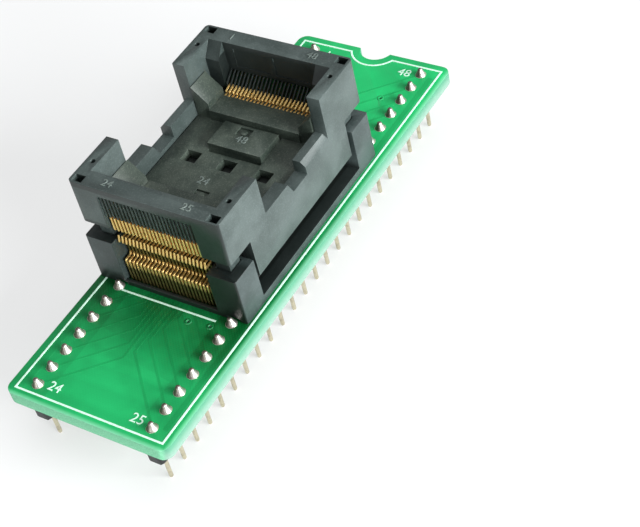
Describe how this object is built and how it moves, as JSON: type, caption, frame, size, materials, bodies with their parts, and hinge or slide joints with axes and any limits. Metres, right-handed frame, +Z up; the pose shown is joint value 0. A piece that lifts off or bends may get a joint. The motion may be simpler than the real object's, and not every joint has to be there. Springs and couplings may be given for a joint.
{
  "type": "programming socket adapter",
  "caption": "Plug-in adapter board with two rows of header pins below and a spring-loaded, press-down open-top socket for a flat leaded memory chip on top.",
  "frame": {"origin": "centre of the board's outline, on the plane of the pin tips", "axes": "+X along the board towards its notched end, +Y towards the left row of pins, +Z up through the socket's open top"},
  "size_m": [0.0628, 0.0216, 0.0229],
  "materials": {
    "solder_mask": "satin",
    "header_plastic": "matte",
    "tinned_pin": "satin",
    "solder": "polished",
    "gold_plating": "satin",
    "housing_plastic": "satin",
    "nest_plastic": "satin",
    "cover_plastic": "satin",
    "contact_gold": "polished",
    "spring_steel": "satin"
  },
  "bodies": {
    "adapter": {"circuit_board": "solder_mask", "header_strip_left": "header_plastic", "header_strip_right": "header_plastic", "header_pins_left": "tinned_pin", "header_pins_right": "tinned_pin", "pin_solder_left": "solder", "pin_solder_right": "solder", "via_rings": "gold_plating", "socket_base": "housing_plastic", "nest_plate": "nest_plastic", "contact_stems_front": "contact_gold", "contact_stems_rear": "contact_gold", "contact_solder_front": "solder", "contact_solder_rear": "solder", "cover_spring_front_left": "spring_steel", "cover_spring_front_right": "spring_steel", "cover_spring_rear_left": "spring_steel", "cover_spring_rear_right": "spring_steel"},
    "cover": {"socket_cover": "cover_plastic", "cover_comb_front": "cover_plastic", "cover_comb_rear": "cover_plastic"},
    "front_arms": {"contact_arms_front": "contact_gold"},
    "rear_arms": {"contact_arms_rear": "contact_gold"}
  },
  "joints": [
    {"name": "cover_press", "type": "slide", "parent": "adapter", "child": "cover", "axis": [0, 0, -1], "range_m": [0, 0.002], "stiffness_N_per_m": 3000, "springref_m": -0.002, "deforming": ["cover_spring_front_left", "cover_spring_front_right", "cover_spring_rear_left", "cover_spring_rear_right"]},
    {"name": "front_contacts_open", "type": "hinge", "parent": "adapter", "child": "front_arms", "pos_m": [-0.0108, 0.0006, 0.0149], "axis": [0, -1, 0], "range_deg": [0, 20.1]},
    {"name": "rear_contacts_open", "type": "hinge", "parent": "adapter", "child": "rear_arms", "pos_m": [0.0122, 0.0006, 0.0149], "axis": [0, 1, 0], "range_deg": [0, 20.1]}
  ],
  "couplings": [
    {"joint": "front_contacts_open", "follows": "cover_press", "rad_per_m": 174.5},
    {"joint": "rear_contacts_open", "follows": "cover_press", "rad_per_m": 174.5}
  ]
}
